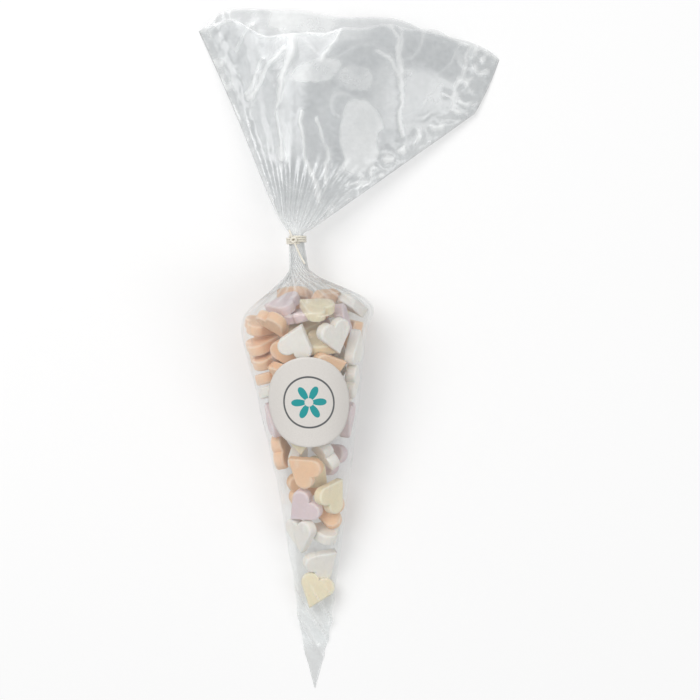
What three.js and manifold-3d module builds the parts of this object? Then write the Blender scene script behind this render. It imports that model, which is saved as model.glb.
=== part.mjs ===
// A cone bag of clear film, filled with heart-shaped pressed-sugar sweets and tied at the neck.
// Millimetres, +Z up. The bag lies on its back: tip towards -Y, open flare towards +Y, sticker up.
// Along the bag, "station" is the distance from the tip; "across" is to the right of its line.

import * as THREE from 'three';
import { mergeVertices } from 'three/addons/utils/BufferGeometryUtils.js';
import Module from 'manifold-3d';

// The flat bag, before it was filled
const BAG_LENGTH = 306;
const MOUTH_WIDTH = 167;
const FILM = 0.06;

// The filled bag
const FULL_FROM = 95; // station above which the body is fully round
const EARLY_FULL = 0.63 * FULL_FROM; // most of the rounding is done here
const EARLY_SHARE = 0.85;
const FLAT_TO = 27; // station below which it lies flat
const FLAT_HEIGHT = 0.35; // least half height, where front and back lie together
const SHOULDER_FROM = 166;
const NECK_FROM = 189;
const NECK_AT = 201; // where the tie sits
const NECK_RADIUS = 4.1;
const WAIST_RADIUS = 3.4; // under the tie
const NECK_HEIGHT = 20; // of the neck's middle above the table
const FLAT_SQUARENESS = 3.2; // exponent of the section where it lies flat; 2 is an ellipse
const TABLE_FLAT = THREE.MathUtils.degToRad(18); // half angle of the strip that lies on the table
const LINE_TILT = THREE.MathUtils.degToRad(2.3); // the neck lies this far to the left of the tip
const BOW = 3.2; // the body bulges this far to the right of the line from tip to neck
const SHOULDER_LEAN = 4; // the right shoulder is the fuller one
const LEAN_FROM = SHOULDER_FROM - 8;
const SHOULDER_SLOPE = 1.25; // above 1, the shoulder stays full before it narrows
const NECK_TWIST = THREE.MathUtils.degToRad(-90);
const TWIST_FROM = 178;

// The flare above the neck: angles clockwise from +Y, reaches from the tie
const FLARE_LEFT = THREE.MathUtils.degToRad(-25);
const FLARE_RIGHT = THREE.MathUtils.degToRad(54.5);
const LEFT_SPREAD = THREE.MathUtils.degToRad(-27); // more at the neck than at the mouth
const CORNER_CUT = THREE.MathUtils.degToRad(6.3); // the right corner turns in from CUT_FROM outwards
const CUT_FROM = 98;
// Mouth of each panel as [share from the left edge to the right one, reach]
const BACK_REACH = [[0, 104], [0.09, 108], [0.3, 103.5], [0.43, 102], [0.7, 110], [1, 122]];
const FRONT_REACH = [
  [0, 104], [0.09, 104], [0.22, 92], [0.4, 93], [0.5, 98], [0.66, 106], [0.8, 113.5], [1, 122],
];
const EDGE_REACH = BACK_REACH.at(-1)[1];
const SPREAD_FADES = 18; // reach over which the left spread dies away
const ROOT_TO = 0.07; // share of the reach over which the neck's section opens into the panels
const FLARE_GAPE = 14; // between the two panels at the mouth
const FLARE_ARCH = 3.5; // the lower panel's middle stands this far off the table
const PLEAT_DEPTH = 2.4;
const PLEATS_FULL = 0.25; // share of the reach where the flare's pleats are deepest
const PLEATS_LEFT = 0.07; // share of their depth that is left at the mouth
const BUNDLE_DEPTH = 1.2; // the left edge is bundled: its pleats are this much deeper
const BUNDLE_WIDTH = 0.13;
const PLEATS_FROM = SHOULDER_FROM + 3;
const NECK_PLEAT = 0.2; // depth of the neck's gathers, as a share of its radius

// Loft
const AROUND = 48;
const BODY_STATIONS = [
  3, 12, 22, 32, 42, 52, 64, 78, 94, 110, 126, 142, 156, 163, 167, 170, 172.5, 174.5, 176.5, 178.5, 180.5,
  182.5, 184.5, 186.5, 188.5,
];
const NECK_STATIONS = [190.5, 193.5, 197, 200];
const FLARE_STEPS = [0.03, 0.07, 0.12, 0.19, 0.28, 0.39, 0.52, 0.66, 0.8, 0.91, 1];

// Sweets
const HEART_WIDTH = 15.5;
const HEART_HEIGHT = 15.5;
const HEART_THICK = 4.9;
const LOBE_RADIUS = 4.15;
const HEART_CHAMFER = 0.8;
const LOBE_FACETS = 4;
const SWEET_GAP = 0.35; // kept between sweets, and from sweets to the film
const SINK_STEP = 0.5;
const SETTLE_STEP = 0.15;
const MOST_DROP = 12;
const SWEETS_TOP = 183; // no sweet reaches past this station
const SWEETS = 57;
const JOSTLES = 6; // places tried for each sweet
const JOSTLE_REACH = 4.5;
const JOSTLE_TURN = 0.25; // radians
const NEARBY = 1.35 * HEART_WIDTH; // sweets further apart than this can't touch
const TO_STICK = 0.8; // how much a sweet minds being away from its own place, against being sunk
const UNDERSIDE = 1.4; // half angle of the underside that the last sweets fill, in radians
const UNDERSIDE_FROM = 50;
const UNDERSIDE_TO = 172;
const GOLDEN = Math.PI * (3 - Math.sqrt(5));

// Sticker and tie
const LABEL_DIAMETER = 40;
const LABEL_THICK = 0.15;
const LABEL_AT = 128.8;
const LABEL_GAP = 0.4;
const TIE_RADIUS = 0.5;
const TIE_GAP = 0.3;
const TIE_TURNS = [-0.9, 0.35]; // station offsets of its turns from NECK_AT
const TIE_TAIL = 11;
const KNOT_RADIUS = 1.5;

const SUGAR = { peach: 0xf5c9a3, cream: 0xf0e3bf, white: 0xeeeae2, lilac: 0xdccbce };

const smooth = (from, to, x) => THREE.MathUtils.smoothstep(x, from, to);
const { lerp } = THREE.MathUtils;

const flatWidth = (station) => MOUTH_WIDTH * station / BAG_LENGTH;
const lineOut = new THREE.Vector3(-Math.sin(LINE_TILT), Math.cos(LINE_TILT), 0);
const lineAcross = new THREE.Vector3(Math.cos(LINE_TILT), Math.sin(LINE_TILT), 0);

// A value that runs smoothly through [place, value] pairs.
function through(pairs, place) {
  const next = pairs.findIndex(([at]) => at >= place);
  if (next < 0) return pairs[pairs.length - 1][1];
  if (next === 0) return pairs[0][1];
  const [[from, a], [to, b]] = [pairs[next - 1], pairs[next]];
  return lerp(a, b, smooth(from, to, place));
}

// Half height of an ellipse with this half width and perimeter: film folds, but doesn't stretch.
function halfHeight(halfWidth, perimeter) {
  const around = (b) => Math.PI * (3 * (halfWidth + b)
    - Math.sqrt((3 * halfWidth + b) * (halfWidth + 3 * b)));
  let [low, high] = [0, perimeter];
  for (let i = 0; i < 40; i += 1) {
    const middle = (low + high) / 2;
    if (around(middle) < perimeter) low = middle;
    else high = middle;
  }
  return low;
}

// The section of the body or neck at a station: half sizes and the middle's place.
function section(station) {
  const body = Math.min(station, SHOULDER_FROM);
  const flat = EARLY_SHARE * (1 - smooth(FLAT_TO, EARLY_FULL, body))
    + (1 - EARLY_SHARE) * (1 - smooth(EARLY_FULL, FULL_FROM, body));
  const width = flatWidth(body) * lerp(1 / Math.PI, 0.5, flat);
  const height = Math.max(halfHeight(width, 2 * flatWidth(body)), FLAT_HEIGHT);
  const gather = smooth(SHOULDER_FROM, NECK_FROM, station) ** SHOULDER_SLOPE;
  const waist = smooth(NECK_FROM, NECK_AT, station);
  const neck = lerp(NECK_RADIUS, WAIST_RADIUS, waist);
  const lean = SHOULDER_LEAN * Math.sin(Math.PI * smooth(LEAN_FROM, NECK_FROM, station));
  return {
    squareness: lerp(2, FLAT_SQUARENESS, flat),
    width: lerp(width, neck, gather),
    height: lerp(height, neck, gather),
    across: BOW * Math.sin(Math.PI * Math.min(station / NECK_AT, 1)) + lean,
    middle: lerp(height * Math.cos(TABLE_FLAT), NECK_HEIGHT, gather),
  };
}

const place = (station, across, z) => new THREE.Vector3(0, 0, z)
  .addScaledVector(lineOut, station).addScaledVector(lineAcross, across);

// A point of the closed film at a station, at an angle from the right hand side over the top.
function onBody(station, angle, swell = 1) {
  const { width, height, across, middle, squareness } = section(station);
  const shaped = (value) => swell * Math.sign(value) * Math.abs(value) ** (2 / squareness);
  const z = Math.max(middle + height * shaped(Math.sin(angle)), 0);
  return place(station, across + width * shaped(Math.cos(angle)), z);
}

const zigzag = (i) => (i % 2 ? 1 : -1);

const pleatAt = (station) => NECK_PLEAT * smooth(PLEATS_FROM, NECK_FROM, station);

// Ring of the body or neck. The gathers start on the shoulder and wind round the neck.
function bodyRing(station) {
  const pleat = pleatAt(station);
  const twist = NECK_TWIST * (1 - smooth(TWIST_FROM, NECK_AT, station));
  const ring = [];
  for (let i = 0; i < AROUND; i += 1) {
    const angle = Math.PI - 2 * Math.PI * i / AROUND + twist;
    ring.push(onBody(station, angle, 1 - pleat * (i % 2)));
  }
  return ring;
}

// Straight out from the tie, the flare's lower panel sinks to the table at its corners.
function onFlare(reach, over, upper, pleatSign) {
  const mouth = through(upper ? FRONT_REACH : BACK_REACH, over);
  const out = reach * mouth;
  const right = FLARE_RIGHT - CORNER_CUT * Math.max(0, (out - CUT_FROM) / (EDGE_REACH - CUT_FROM));
  const left = FLARE_LEFT + LEFT_SPREAD * Math.exp(-out / SPREAD_FADES);
  const even = lerp((1 - Math.cos(Math.PI * over)) / 2, over, smooth(0, 0.25, reach));
  const angle = lerp(left, right, even);
  const opening = Math.sin(Math.PI * Math.min(Math.max(over, 0), 1)) ** 0.8;
  const sheet = (NECK_HEIGHT - WAIST_RADIUS) * (1 - reach) ** 1.15;
  const neckDepth = 2 * WAIST_RADIUS * (1 - smooth(0, 0.3, reach));
  const gap = (neckDepth + FLARE_GAPE * smooth(0.02, 1, reach)) * opening;
  const bundle = 1 + BUNDLE_DEPTH * Math.exp(-over / BUNDLE_WIDTH);
  const depth = PLEAT_DEPTH * bundle * smooth(0, PLEATS_FULL, reach)
    * lerp(1, PLEATS_LEFT, smooth(PLEATS_FULL, 1, reach)) * Math.min(1, 8 * opening);
  const z = sheet + FLARE_ARCH * opening * reach + (upper ? gap : 0) + depth * (pleatSign + 1) / 2;
  const neck = place(NECK_AT, 0, 0);
  return neck.add(new THREE.Vector3(Math.sin(angle) * out, Math.cos(angle) * out, z));
}

function flareRing(reach) {
  const base = bodyRing(NECK_AT);
  const ring = [];
  for (let i = 0; i < AROUND; i += 1) {
    const upper = i <= AROUND / 2;
    const over = upper ? 2 * i / AROUND : 2 - 2 * i / AROUND;
    const rising = base[i].clone().addScaledVector(lineOut, reach * CUT_FROM);
    ring.push(onFlare(reach, over, upper, zigzag(i)).lerp(rising, 1 - smooth(0, ROOT_TO, reach)));
  }
  return ring;
}

// A closed thin wall: outer rings, the same rings moved in along their normals, one rim, two tips.
function filmGeometry() {
  const rings = [
    ...BODY_STATIONS.map(bodyRing), ...NECK_STATIONS.map(bodyRing), ...FLARE_STEPS.map(flareRing),
  ];
  const last = rings.length - 1;
  const at = (k, i) => rings[Math.min(Math.max(k, 0), last)][(i + AROUND) % AROUND];
  const inner = rings.map((ring, k) => ring.map((point, i) => {
    const along = at(k + 1, i).clone().sub(at(k - 1, i));
    const round = at(k, i + 1).clone().sub(at(k, i - 1));
    return point.clone().addScaledVector(round.cross(along).normalize(), -FILM);
  }));
  const tip = place(0, 0, 0.3);
  const innerTip = place(BODY_STATIONS[0] / 3, section(BODY_STATIONS[0] / 3).across, 0.3);
  const points = [...rings.flat(), ...inner.flat(), tip, innerTip];
  const start = rings.length * AROUND;
  const faces = [];
  const quad = (a, b, c, d) => faces.push(a, b, c, a, c, d);
  const backQuad = (a, b, c, d) => faces.push(a, c, b, a, d, c); // same diagonal, so the wall stays even
  for (let i = 0; i < AROUND; i += 1) {
    const j = (i + 1) % AROUND;
    for (let k = 0; k < last; k += 1) {
      const [a, b] = [k * AROUND, (k + 1) * AROUND];
      quad(a + i, a + j, b + j, b + i);
      backQuad(start + a + i, start + a + j, start + b + j, start + b + i);
    }
    const rim = last * AROUND;
    quad(rim + i, rim + j, start + rim + j, start + rim + i);
    faces.push(points.length - 2, j, i);
    faces.push(points.length - 1, start + i, start + j);
  }
  return geometryOf(points, faces);
}

function geometryOf(points, faces) {
  const geometry = new THREE.BufferGeometry().setFromPoints(points);
  geometry.setIndex(faces);
  geometry.computeVertexNormals();
  return geometry;
}

// Round sticker, bent round the body over its top line.
function labelGeometry() {
  const [rings, steps] = [4, 32];
  const sheet = (lift) => {
    const points = [];
    for (let k = 0; k <= rings; k += 1) {
      for (let i = 0; i < (k ? steps : 1); i += 1) {
        const radius = LABEL_DIAMETER / 2 * k / rings;
        const turn = 2 * Math.PI * i / steps;
        const station = LABEL_AT + radius * Math.cos(turn);
        const { width, height, across, middle } = section(station);
        const angle = Math.PI / 2 - radius * Math.sin(turn) / ((width + height) / 2);
        const side = across + (width + lift) * Math.cos(angle);
        points.push(place(station, side, middle + (height + lift) * Math.sin(angle)));
      }
    }
    return points;
  };
  const under = sheet(LABEL_GAP);
  const points = [...under, ...sheet(LABEL_GAP + LABEL_THICK)];
  const count = under.length;
  const id = (k, i) => (k ? 1 + (k - 1) * steps + i % steps : 0);
  const faces = [];
  for (let i = 0; i < steps; i += 1) {
    for (let k = 0; k < rings; k += 1) {
      const [a, b, c, d] = [id(k, i), id(k + 1, i), id(k + 1, i + 1), id(k, i + 1)];
      faces.push(a, b, c, count + a, count + c, count + b);
      if (k) faces.push(a, c, d, count + a, count + d, count + c);
    }
    const [a, b] = [id(rings, i), id(rings, i + 1)];
    faces.push(a, count + a, count + b, a, count + b, b);
  }
  return geometryOf(points, faces);
}

const wasm = await Module();
wasm.setup();

function solid(geometry) {
  const bare = geometry.clone();
  bare.deleteAttribute('normal');
  bare.deleteAttribute('uv');
  const merged = mergeVertices(bare, 1e-4);
  return new wasm.Manifold(new wasm.Mesh({
    numProp: 3,
    vertProperties: new Float32Array(merged.attributes.position.array),
    triVerts: new Uint32Array(merged.index.array),
  }));
}

function geometryFrom(manifold) {
  const mesh = manifold.getMesh();
  const geometry = new THREE.BufferGeometry();
  geometry.setAttribute('position', new THREE.BufferAttribute(mesh.vertProperties, 3));
  geometry.setIndex(new THREE.BufferAttribute(mesh.triVerts, 1));
  geometry.computeVertexNormals();
  return geometry;
}

// Two turns of strand round the waist, a knot on top and a tail that runs back over the neck.
function tieGeometry() {
  const ringRadius = WAIST_RADIUS + TIE_GAP + TIE_RADIUS;
  const facing = new THREE.Quaternion().setFromUnitVectors(new THREE.Vector3(0, 0, 1), lineOut);
  const turn = (offset) => {
    const ring = new THREE.TorusGeometry(ringRadius, TIE_RADIUS, 6, 24);
    ring.applyQuaternion(facing);
    const { x, y, z } = place(NECK_AT + offset, 0, NECK_HEIGHT);
    return ring.translate(x, y, z);
  };
  const spot = (along, side, lift) => place(NECK_AT + along, side, NECK_HEIGHT + lift);
  const top = ringRadius + TIE_RADIUS;
  const knot = new THREE.IcosahedronGeometry(KNOT_RADIUS, 1);
  const knotAt = spot((TIE_TURNS[0] + TIE_TURNS[1]) / 2, -1.2, top);
  knot.translate(knotAt.x, knotAt.y, knotAt.z);
  const tailLine = new THREE.CatmullRomCurve3([
    spot(-0.3, -1.2, top), spot(-TIE_TAIL * 0.35, 0.2, top + 1.1), spot(-TIE_TAIL * 0.7, 1.8, top + 1),
    spot(-TIE_TAIL, 3.4, top + 1.4),
  ]);
  const strand = new THREE.Shape().absarc(0, 0, TIE_RADIUS, 0, 2 * Math.PI);
  const tail = new THREE.ExtrudeGeometry(strand, { extrudePath: tailLine, steps: 12, curveSegments: 4 });
  return geometryFrom([...TIE_TURNS.map(turn), knot, tail].map(solid).reduce((all, one) => all.add(one)));
}

// Outline of a sweet: two round lobes and two straight sides that meet at the tip, at -Y.
function heartShape() {
  const centreX = HEART_WIDTH / 2 - LOBE_RADIUS;
  const centreY = HEART_HEIGHT / 2 - LOBE_RADIUS;
  const toTip = Math.hypot(centreX, centreY + HEART_HEIGHT / 2);
  const side = Math.atan2(centreY + HEART_HEIGHT / 2, centreX) - Math.asin(LOBE_RADIUS / toTip)
    - Math.PI / 2;
  const notch = Math.acos(-centreX / LOBE_RADIUS);
  return new THREE.Shape()
    .moveTo(0, -HEART_HEIGHT / 2)
    .lineTo(centreX + LOBE_RADIUS * Math.cos(side), centreY + LOBE_RADIUS * Math.sin(side))
    .absarc(centreX, centreY, LOBE_RADIUS, side, notch)
    .absarc(-centreX, centreY, LOBE_RADIUS, Math.PI - notch, Math.PI - side);
}

const outline = heartShape().extractPoints(LOBE_FACETS).shape;

function heartGeometry() {
  const geometry = new THREE.ExtrudeGeometry(heartShape(), {
    depth: HEART_THICK - 2 * HEART_CHAMFER,
    bevelThickness: HEART_CHAMFER,
    bevelSize: HEART_CHAMFER,
    bevelOffset: -HEART_CHAMFER,
    bevelSegments: 1,
    curveSegments: LOBE_FACETS,
  });
  geometry.translate(0, 0, HEART_CHAMFER - HEART_THICK / 2);
  return geometry;
}

// Distance from a point, in the sweet's own frame, to its surface; negative inside.
function heartDistance(point) {
  let nearest = Infinity;
  let inside = false;
  for (let i = 0, j = outline.length - 1; i < outline.length; j = i, i += 1) {
    const [a, b] = [outline[i], outline[j]];
    const [ex, ey, px, py] = [b.x - a.x, b.y - a.y, point.x - a.x, point.y - a.y];
    const t = Math.min(Math.max((px * ex + py * ey) / (ex * ex + ey * ey), 0), 1);
    nearest = Math.min(nearest, Math.hypot(px - t * ex, py - t * ey));
    if ((a.y > point.y) !== (b.y > point.y) && point.x < a.x + (point.y - a.y) * ex / ey) inside = !inside;
  }
  const flat = (inside ? -nearest : nearest) + HEART_CHAMFER;
  const thick = Math.abs(point.z) - HEART_THICK / 2 + HEART_CHAMFER;
  const rounded = Math.min(Math.max(flat, thick), 0) + Math.hypot(Math.max(flat, 0), Math.max(thick, 0));
  return rounded - HEART_CHAMFER;
}

// Points on a sweet's surface where its clearance is measured.
const feelers = [];
const feel = (p, share, z) => [-z, z].forEach((side) => {
  feelers.push(new THREE.Vector3(p.x * share, p.y * share, side));
});
outline.forEach((corner, i) => {
  const next = outline[(i + 1) % outline.length];
  const faceShare = 1 - 2 * HEART_CHAMFER / HEART_WIDTH;
  feel(corner, 1, HEART_THICK / 2 - HEART_CHAMFER);
  feel(corner.clone().lerp(next, 0.5), 1, HEART_THICK / 2 - HEART_CHAMFER);
  feel(corner, faceShare, HEART_THICK / 2);
  feel(corner, faceShare / 2, HEART_THICK / 2);
});

const knots = BODY_STATIONS.map((station) => ({ station, pleat: pleatAt(station), ...section(station) }));

// Room between a point and the film, roughly, in mm. The film runs straight between its rings.
function roomTo(point) {
  const station = point.dot(lineOut);
  const next = knots.findIndex((knot) => knot.station > station);
  if (next < 1 || station > SWEETS_TOP) return -1;
  const [from, to] = [knots[next - 1], knots[next]];
  const share = (station - from.station) / (to.station - from.station);
  const [width, height, across, middle, squareness, pleat] = [
    'width', 'height', 'across', 'middle', 'squareness', 'pleat',
  ].map((key) => lerp(from[key], to[key], share));
  const far = (Math.abs((point.dot(lineAcross) - across) / width) ** squareness
    + Math.abs((point.z - middle) / height) ** squareness) ** (1 / squareness);
  return Math.min((1 - pleat - far) * Math.min(width, height), point.z) - FILM;
}

const sweets = [];
const local = new THREE.Vector3();

const areOutside = (points, inverse) => points.every(
  (p) => heartDistance(local.copy(p).applyMatrix4(inverse)) > SWEET_GAP,
);

function isClear({ centre, world, inverse }, others = sweets) {
  return world.every((p) => roomTo(p) >= SWEET_GAP) && others.every((other) => {
    const apart = other.centre.distanceTo(centre);
    if (apart > NEARBY) return true;
    return apart > HEART_THICK && areOutside(world, other.inverse) && areOutside(other.world, inverse);
  });
}

// A sweet at a place, with what the clearance test needs of it.
function sweetAt(turned, centre) {
  const pose = turned.clone().setPosition(centre);
  return { pose, centre, inverse: pose.clone().invert(), world: feelers.map((p) => p.clone().applyMatrix4(pose)) };
}

// Directions at a place on the body, square to each other: out of the film, along the bag, round it.
function filmFrame(station, angle) {
  const along = onBody(station + 2, angle).sub(onBody(station - 2, angle)).normalize();
  const round = onBody(station, angle - 0.15).sub(onBody(station, angle + 0.15)).normalize();
  const out = round.cross(along).normalize();
  return { out, along, across: along.clone().cross(out) };
}

// A sweet against the film. kind "face" lies flat on it, "edge" stands on edge with its lobes on it.
// It starts at the film and sinks until it is clear of the film and of the sweets already there.
function sunkSweet({ station, angle, turn, kind }) {
  const { out, along, across } = filmFrame(station, angle);
  const tip = along.multiplyScalar(Math.cos(turn)).addScaledVector(across, Math.sin(turn));
  const normal = out.clone();
  if (kind === 'edge') {
    normal.copy(tip);
    tip.copy(out).negate();
  }
  const y = tip.negate();
  const turned = new THREE.Matrix4().makeBasis(y.clone().cross(normal), y, normal);
  const start = onBody(station, angle);
  for (let sunk = 0; sunk < 2 * section(station).height; sunk += SINK_STEP) {
    const centre = start.clone().addScaledVector(out, -sunk);
    const sweet = sweetAt(turned, centre);
    if (isClear(sweet)) return { ...sweet, sunk };
  }
  return null;
}

// Of a few nearby places, the sweet takes the one where it lies nearest to the film.
function addSweet({ station, angle, turn, kind, flavour }) {
  const tries = [];
  for (let i = 0; i < JOSTLES; i += 1) {
    const away = JOSTLE_REACH * Math.sqrt(i / JOSTLES);
    const sway = i * GOLDEN;
    const sweet = sunkSweet({
      station: station + away * Math.cos(sway),
      angle: angle + away * Math.sin(sway) / section(station).width,
      turn: turn + JOSTLE_TURN * Math.sin(sway),
      kind,
    });
    if (sweet) tries.push({ ...sweet, cost: sweet.sunk + TO_STICK * away, flavour });
  }
  if (!tries.length) return false;
  const best = tries.reduce((a, b) => (b.cost < a.cost ? b : a));
  sweets.push(best);
  return true;
}

// The sweets that show on top, front ones first: station, across, which way the tip points (degrees
// to the right of the flare), how it lies, and its flavour.
const SHOWN = [
  [171, 5, -41, 'face', 'cream'], [155, -1, 21, 'face', 'white'], [159.5, 14.5, 170, 'face', 'white'],
  [152, 23, 0, 'face', 'white'], [169, -10, 4, 'edge', 'peach'], [162.5, -6.5, -24, 'edge', 'lilac'],
  [165.5, -17, 0, 'edge', 'peach'], [160, -17, 2, 'edge', 'cream'], [154.5, -17, -3, 'edge', 'peach'],
  [148.5, -16.5, 4, 'edge', 'peach'], [142.5, -16.5, -8, 'edge', 'peach'], [136.5, -16, -10, 'edge', 'white'],
  [98, -1, -50, 'face', 'peach'], [90.5, 8, 134, 'face', 'cream'], [81, -1, -142, 'face', 'lilac'],
  [67.5, -3, 180, 'face', 'white'], [54.5, 5, 52, 'face', 'white'], [44, 1, -160, 'face', 'cream'],
  [104, 8.5, 60, 'edge', 'white'], [78.5, 9.5, -60, 'edge', 'peach'], [71, 9.5, 5, 'edge', 'cream'],
  [65, 7, -8, 'edge', 'white'], [55.5, -4.5, -45, 'edge', 'white'], [137, 22, 90, 'face', 'white'],
  [165, 23, 45, 'face', 'peach'], [173, 13, 117, 'face', 'cream'], [174, -6, -107, 'face', 'lilac'],
  [157, 8, 60, 'face', 'peach'], [146.5, 12, 79, 'face', 'peach'], [147, -7, 160, 'face', 'peach'],
  [112, -1.5, 180, 'face', 'cream'], [112, 12.5, 20, 'face', 'cream'], [121, -14, 0, 'face', 'lilac'],
  [119, 20.5, 180, 'face', 'lilac'], [92, -8.5, 30, 'edge', 'peach'], [129, 4, -30, 'face', 'cream'],
  [102, 15.5, 0, 'face', 'white'], [77, -10, 0, 'edge', 'cream'],
];

// Each sweet drops, in small steps, until something below holds it.
function settle() {
  const step = new THREE.Vector3(0, 0, -SETTLE_STEP);
  const lowestFirst = [...sweets].sort((a, b) => a.centre.z - b.centre.z);
  lowestFirst.forEach((sweet) => {
    const others = sweets.filter((other) => other !== sweet);
    for (let dropped = 0; dropped < MOST_DROP; dropped += SETTLE_STEP) {
      const lower = sweetAt(sweet.pose, sweet.centre.clone().add(step));
      if (!isClear(lower, others)) break;
      Object.assign(sweet, lower);
    }
  });
}

function fillBag() {
  SHOWN.forEach(([station, across, degrees, kind, flavour]) => {
    const { width, across: line } = section(station);
    const seat = kind === 'edge' ? HEART_HEIGHT / 2 : HEART_THICK;
    const angle = Math.acos(Math.min(Math.max((across - line) / (width - seat), -0.99), 0.99));
    addSweet({ station, angle, turn: THREE.MathUtils.degToRad(degrees), kind, flavour });
  });
  const flavours = Object.keys(SUGAR);
  for (let i = 0; sweets.length < SWEETS && i < 4 * SWEETS; i += 1) {
    const station = lerp(UNDERSIDE_FROM, UNDERSIDE_TO, Math.sqrt((i * GOLDEN) % 1));
    const angle = -Math.PI / 2 + UNDERSIDE * Math.sin(i * i);
    addSweet({ station, angle, turn: i * GOLDEN, kind: 'face', flavour: flavours[i % flavours.length] });
  }
  settle();
}

const filmMaterial = new THREE.MeshStandardMaterial({
  color: 0xe9ecee, roughness: 0.12, metalness: 0, transparent: true, opacity: 0.3,
});
const paper = new THREE.MeshStandardMaterial({ color: 0xdedad4, roughness: 0.75, metalness: 0 });
const strandMaterial = new THREE.MeshStandardMaterial({ color: 0xf1ecdc, roughness: 0.6, metalness: 0 });

function named(name, geometry, material) {
  const mesh = new THREE.Mesh(geometry, material);
  mesh.name = name;
  return mesh;
}

const bag = new THREE.Group();
bag.add(named('cone_bag', filmGeometry(), filmMaterial));
bag.add(named('neck_tie', tieGeometry(), strandMaterial));
bag.add(named('round_label', labelGeometry(), paper));

fillBag();
const sweetGeometry = heartGeometry();
sweets.forEach(({ pose, flavour }, i) => {
  const sugar = new THREE.MeshStandardMaterial({ color: SUGAR[flavour], roughness: 0.85, metalness: 0 });
  const sweet = named(`sweet_${flavour}_${String(i + 1).padStart(2, '0')}`, sweetGeometry, sugar);
  sweet.applyMatrix4(pose);
  bag.add(sweet);
});

// The origin is under the middle of the whole.
const box = new THREE.Box3().setFromObject(bag, true);
const middle = box.getCenter(new THREE.Vector3());
bag.position.set(-middle.x, -middle.y, 0);

export default bag;
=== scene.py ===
"""Looks of a clear film cone bag of pressed-sugar hearts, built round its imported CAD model.

The bag lies on its back on a white table: tip towards -Y, open flare towards +Y, sticker up.
Sizes are in millimetres until a mesh is made, which is in metres as the frame is.
"""

import logging
import math
from dataclasses import dataclass
from enum import Enum

import bpy
import numpy as np
from mathutils import Matrix, Quaternion, Vector, noise


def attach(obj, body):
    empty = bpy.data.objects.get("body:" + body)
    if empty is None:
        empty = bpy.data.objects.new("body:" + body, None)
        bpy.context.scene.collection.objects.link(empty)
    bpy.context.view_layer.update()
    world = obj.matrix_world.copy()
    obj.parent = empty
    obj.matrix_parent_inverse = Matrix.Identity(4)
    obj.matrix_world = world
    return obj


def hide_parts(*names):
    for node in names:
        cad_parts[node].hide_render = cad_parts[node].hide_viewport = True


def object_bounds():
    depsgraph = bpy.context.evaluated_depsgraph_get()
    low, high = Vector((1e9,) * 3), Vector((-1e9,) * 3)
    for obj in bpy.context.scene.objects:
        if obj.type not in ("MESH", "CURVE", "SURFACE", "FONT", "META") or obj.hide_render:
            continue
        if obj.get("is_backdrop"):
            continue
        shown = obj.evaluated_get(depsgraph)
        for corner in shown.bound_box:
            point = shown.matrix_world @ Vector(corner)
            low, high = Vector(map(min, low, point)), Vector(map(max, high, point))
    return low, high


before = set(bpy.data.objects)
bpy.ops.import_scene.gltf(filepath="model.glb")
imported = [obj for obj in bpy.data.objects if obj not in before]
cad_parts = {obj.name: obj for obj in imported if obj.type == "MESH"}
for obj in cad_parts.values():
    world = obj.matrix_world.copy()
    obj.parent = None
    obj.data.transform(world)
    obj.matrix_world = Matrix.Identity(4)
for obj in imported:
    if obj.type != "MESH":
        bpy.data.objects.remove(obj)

logging.basicConfig(level=logging.INFO, format="%(message)s")
log = logging.getLogger("cone_bag")

MM = 0.001
ROOT = "root"


class Flavour(Enum):
    """Flavours of the sweets, with the colour of their sugar."""

    PEACH = "#FBD3AE"
    CREAM = "#F8EDCE"
    WHITE = "#F9F6F0"
    LILAC = "#EBDADE"


class Panel(Enum):
    """The two panels of the flare."""

    FRONT = "front"
    BACK = "back"


def linear(colour: str, alpha: float = 1.0) -> tuple[float, float, float, float]:
    """Turns an sRGB hex colour to linear.

    Args:
        colour: Colour as "#RRGGBB".
        alpha: Fourth value of the result.

    Returns:
        Linear red, green, blue and alpha.
    """
    values = [int(colour[i:i + 2], 16) / 255 for i in (1, 3, 5)]
    red, green, blue = (v / 12.92 if v <= 0.04045 else ((v + 0.055) / 1.055) ** 2.4 for v in values)
    return red, green, blue, alpha


def smooth(start: float, end: float, value: np.ndarray | float) -> np.ndarray:
    """Smooth step from 0 at start to 1 at end.

    Args:
        start: Where the step starts.
        end: Where it ends; it may be below start.
        value: Number or array to step.

    Returns:
        Array of numbers from 0 to 1.
    """
    share = np.clip((np.asarray(value, float) - start) / (end - start), 0, 1)
    return share * share * (3 - 2 * share)


def through(pairs: list[tuple[float, float]], place: np.ndarray) -> np.ndarray:
    """Values that run smoothly through (place, value) pairs.

    Args:
        pairs: Places, rising, with their values.
        place: Places asked for.

    Returns:
        Value at each place.
    """
    value = np.full(np.shape(place), pairs[0][1], float)
    for (start, a), (end, b) in zip(pairs, pairs[1:]):
        value = np.where(place > start, a + (b - a) * smooth(start, end, place), value)
    return value


def bumps(points: np.ndarray, size: float, seed: float) -> np.ndarray:
    """Soft noise from -1 to 1 at each point.

    Args:
        points: Array of points in mm.
        size: Width of one bump in mm.
        seed: Shifts the pattern.

    Returns:
        One number for each point.
    """
    flat = points.reshape(-1, 3) / size
    made = [noise.noise(Vector((x + seed, y, z))) for x, y, z in flat]
    return np.array(made).reshape(points.shape[:-1])


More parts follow.
